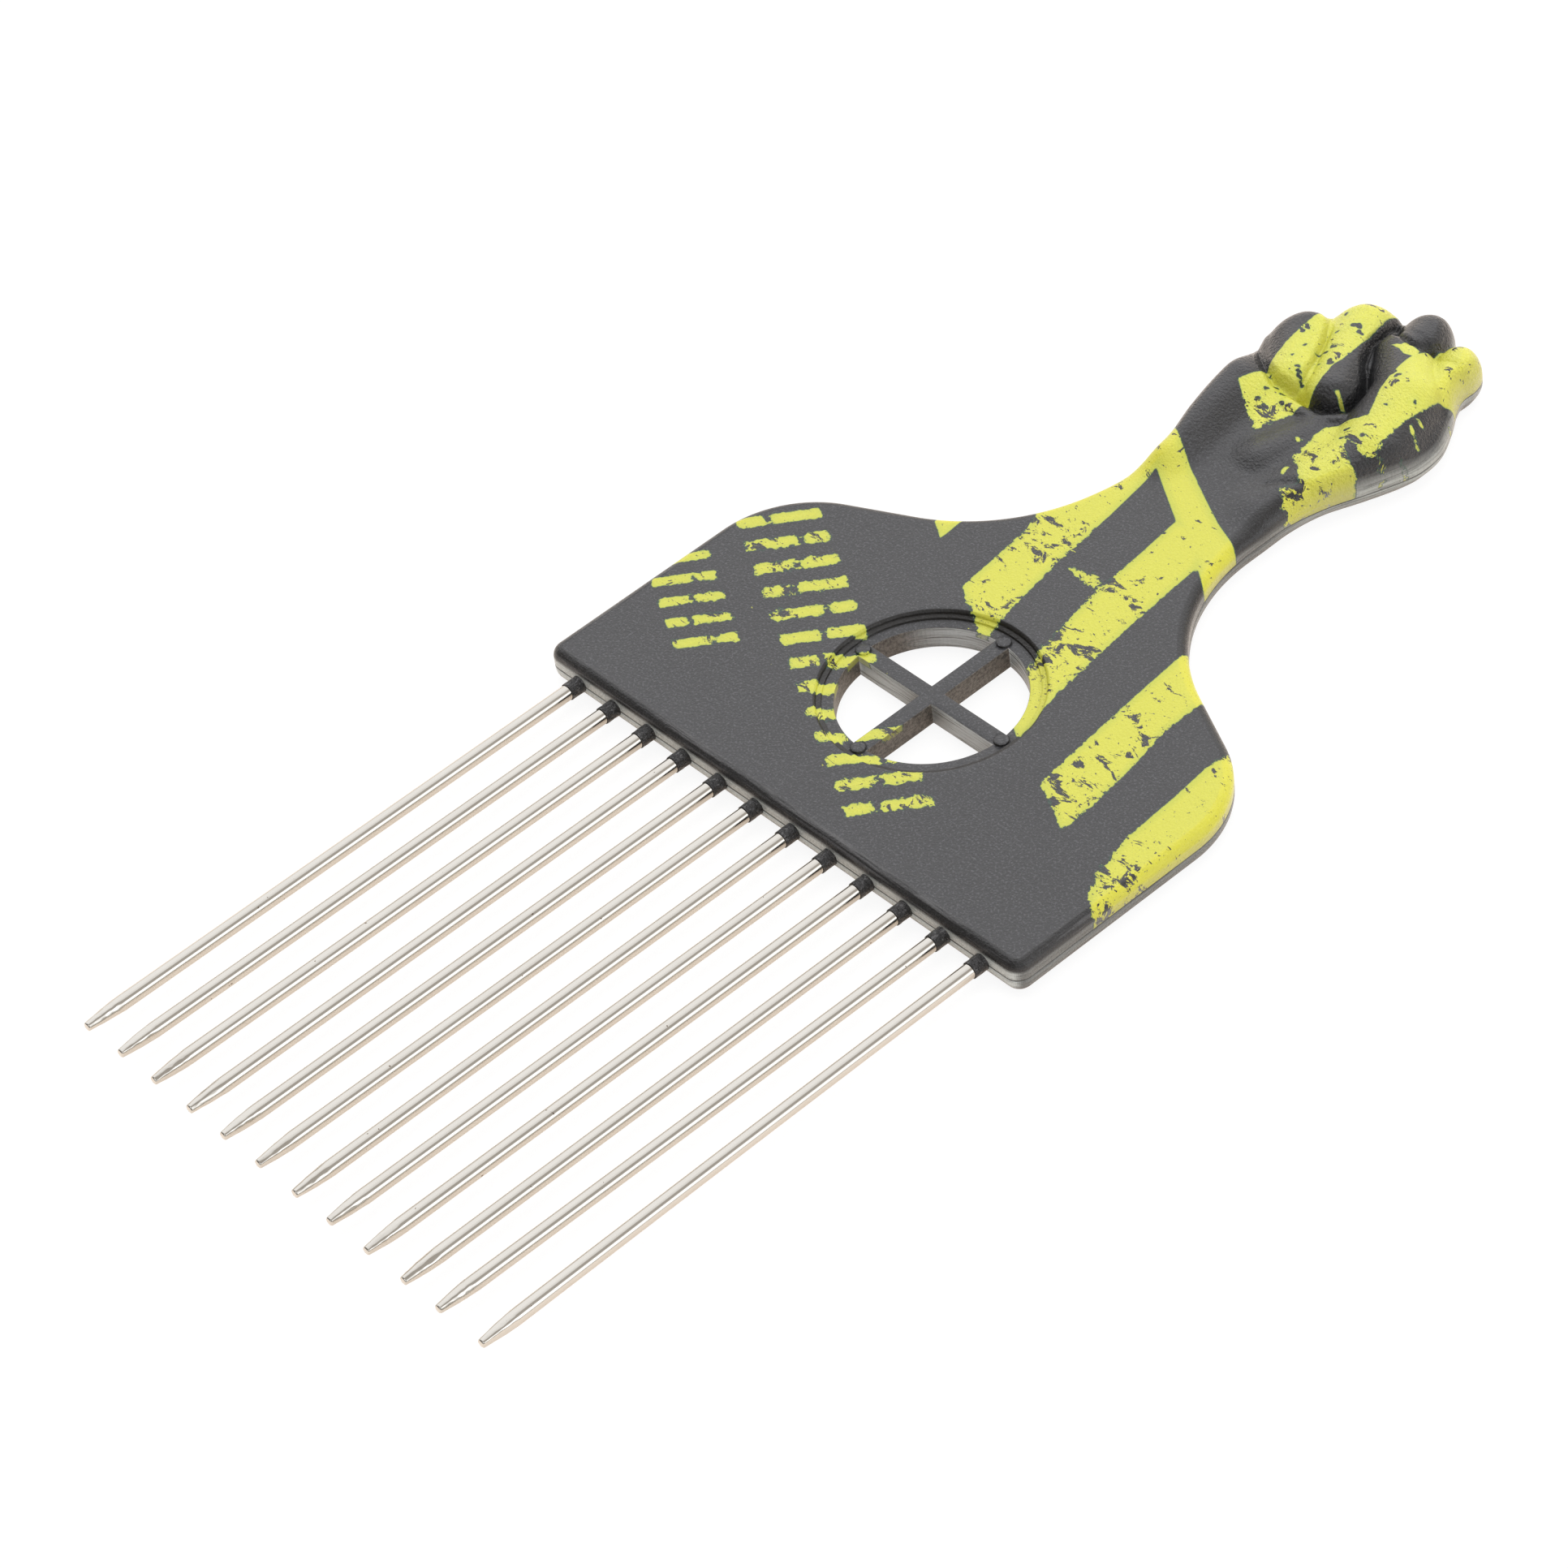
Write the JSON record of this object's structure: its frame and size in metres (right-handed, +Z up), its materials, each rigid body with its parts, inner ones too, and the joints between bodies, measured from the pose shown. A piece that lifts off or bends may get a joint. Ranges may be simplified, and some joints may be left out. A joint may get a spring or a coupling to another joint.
{
  "type": "afro pick",
  "caption": "Flat hair pick with long round steel tines in a row, a moulded black plate with a round four-window opening, and a short handle that ends in a raised fist.",
  "frame": {"origin": "on the surface that the pick lies on, under the middle of its length and width", "axes": "+X across the tines toward the thumb's side of the fist, +Y along the pick from the tine tips to the knuckles, +Z up out of the palm side"},
  "size_m": [0.0772, 0.1786, 0.0081],
  "materials": {
    "handle": "satin black moulding with a fine spark-eroded grain, glossier on its rounded edges",
    "tine": "bright nickel-plated steel wire with fine lengthwise marks"
  },
  "bodies": {
    "root": {"handle": "handle", "tine_01": "tine", "tine_02": "tine", "tine_03": "tine", "tine_04": "tine", "tine_05": "tine", "tine_06": "tine", "tine_07": "tine", "tine_08": "tine", "tine_09": "tine", "tine_10": "tine", "tine_11": "tine", "tine_12": "tine"}
  },
  "joints": []
}
